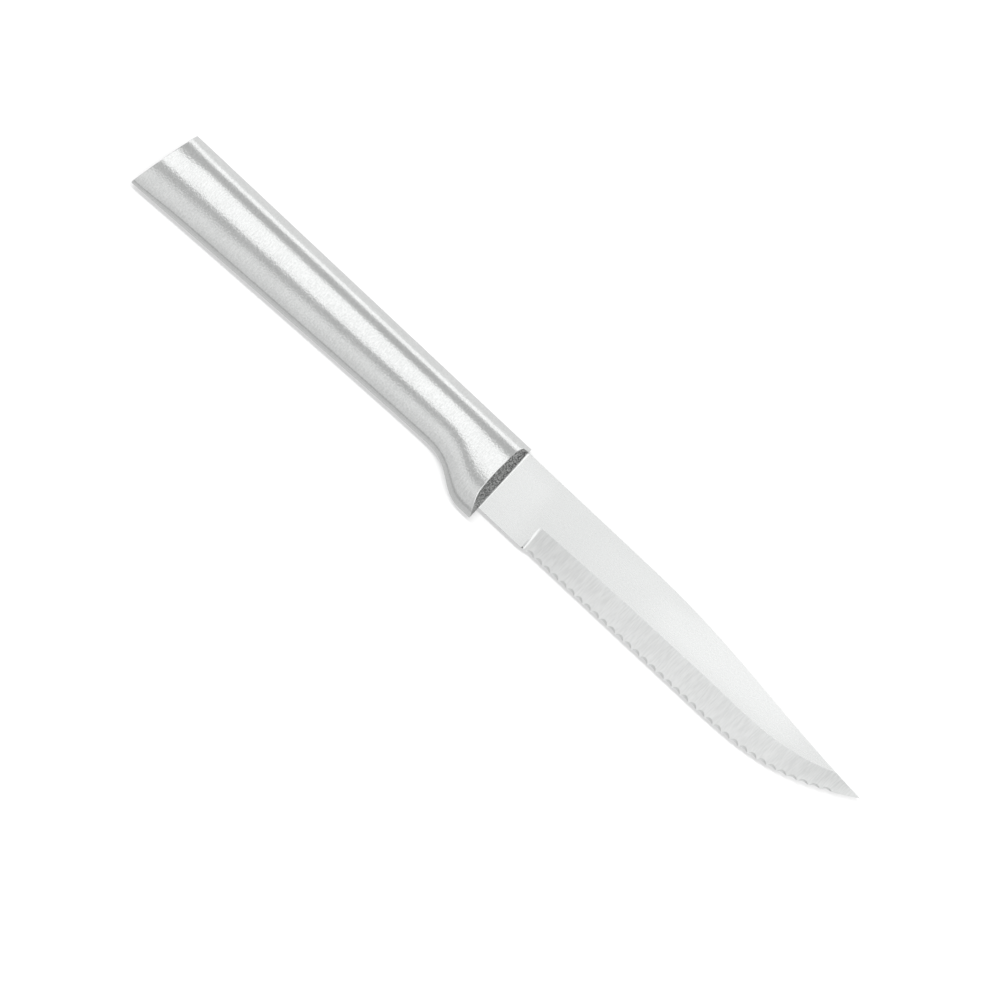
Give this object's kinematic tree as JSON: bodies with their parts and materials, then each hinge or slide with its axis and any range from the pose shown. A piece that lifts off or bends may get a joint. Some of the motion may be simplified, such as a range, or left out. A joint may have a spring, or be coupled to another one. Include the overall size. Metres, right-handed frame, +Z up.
{
  "type": "steak knife",
  "caption": "Slim table knife with a scalloped, bevel-ground stainless blade whose hidden tang is locked inside a brushed oval cast-aluminium handle with a slanted butt and a drop guard.",
  "frame": {"origin": "under the middle of the knife's box, on the surface that the knife lies on", "axes": "+X along the knife to its tip, +Y from the edge to the spine, +Z up, across the blade"},
  "size_m": [0.1968, 0.019, 0.0127],
  "materials": {
    "blade_steel": "fine satin flats, with grind lines across the bevel",
    "handle_aluminium": "brushed round the grip, rough as cast on the bevelled front"
  },
  "bodies": {
    "root": {"blade": "blade_steel", "handle": "handle_aluminium"}
  },
  "joints": []
}
